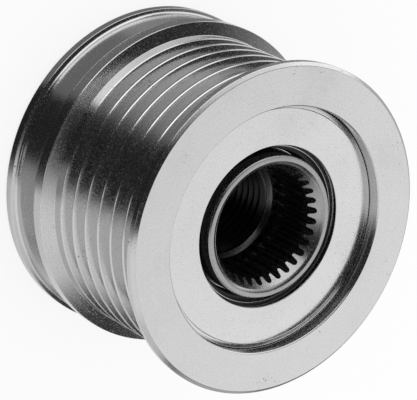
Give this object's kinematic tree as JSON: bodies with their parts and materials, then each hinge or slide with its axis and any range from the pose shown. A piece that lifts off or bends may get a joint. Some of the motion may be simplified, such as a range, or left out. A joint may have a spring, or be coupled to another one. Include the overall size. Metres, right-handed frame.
{
  "type": "overrunning alternator pulley",
  "caption": "Steel pulley for a ribbed belt that turns freely one way on a splined, threaded hub.",
  "frame": {"origin": "centre of the hub's rear end face, on the pulley's axis, where it stands", "axes": "+Z along the pulley's axis, from the rear end to the front with the serrations; X and Y are free"},
  "size_m": [0.055, 0.055, 0.0375],
  "materials": {
    "turned_steel": "bright turned steel",
    "drawn_steel": "drawn, satin",
    "hub_steel": "turned and broached",
    "bearing_steel": "ground",
    "seal_steel": "pressed sheet",
    "spring_steel": "rolled strip",
    "seal_rubber": "matt black",
    "cage_nylon": "moulded, natural"
  },
  "bodies": {
    "hub_body": {"hub": "hub_steel", "inner_ring": "bearing_steel", "clutch_cage": "cage_nylon", "clutch_roller_1": "bearing_steel", "clutch_roller_2": "bearing_steel", "clutch_roller_3": "bearing_steel", "clutch_roller_4": "bearing_steel", "clutch_roller_5": "bearing_steel", "clutch_roller_6": "bearing_steel", "clutch_roller_7": "bearing_steel", "clutch_roller_8": "bearing_steel", "clutch_spring_1": "spring_steel", "clutch_spring_2": "spring_steel", "clutch_spring_3": "spring_steel", "clutch_spring_4": "spring_steel", "clutch_spring_5": "spring_steel", "clutch_spring_6": "spring_steel", "clutch_spring_7": "spring_steel", "clutch_spring_8": "spring_steel"},
    "pulley_body": {"pulley_ring": "turned_steel", "outer_cup": "drawn_steel", "front_seal_ring": "seal_steel", "front_seal_lip": "seal_rubber", "rear_seal_ring": "seal_steel", "rear_seal_lip": "seal_rubber", "front_thrust_washer": "bearing_steel", "rear_thrust_washer": "bearing_steel"},
    "front_needle_body": {"front_needle_cage": "cage_nylon", "front_needle_01": "bearing_steel", "front_needle_02": "bearing_steel", "front_needle_03": "bearing_steel", "front_needle_04": "bearing_steel", "front_needle_05": "bearing_steel", "front_needle_06": "bearing_steel", "front_needle_07": "bearing_steel", "front_needle_08": "bearing_steel", "front_needle_09": "bearing_steel", "front_needle_10": "bearing_steel", "front_needle_11": "bearing_steel", "front_needle_12": "bearing_steel"},
    "rear_needle_body": {"rear_needle_cage": "cage_nylon", "rear_needle_01": "bearing_steel", "rear_needle_02": "bearing_steel", "rear_needle_03": "bearing_steel", "rear_needle_04": "bearing_steel", "rear_needle_05": "bearing_steel", "rear_needle_06": "bearing_steel", "rear_needle_07": "bearing_steel", "rear_needle_08": "bearing_steel", "rear_needle_09": "bearing_steel", "rear_needle_10": "bearing_steel", "rear_needle_11": "bearing_steel", "rear_needle_12": "bearing_steel"}
  },
  "joints": [
    {"name": "pulley_spin", "type": "hinge", "parent": "hub_body", "child": "pulley_body", "pos_m": [0, 0, 0.019], "axis": [0, 0, 1], "continuous": true},
    {"name": "front_needle_orbit", "type": "hinge", "parent": "hub_body", "child": "front_needle_body", "pos_m": [0, 0, 0.0277], "axis": [0, 0, 1], "continuous": true},
    {"name": "rear_needle_orbit", "type": "hinge", "parent": "hub_body", "child": "rear_needle_body", "pos_m": [0, 0, 0.0088], "axis": [0, 0, 1], "continuous": true}
  ],
  "couplings": [
    {"joint": "front_needle_orbit", "follows": "pulley_spin", "ratio": 0.5385},
    {"joint": "rear_needle_orbit", "follows": "pulley_spin", "ratio": 0.5385}
  ]
}
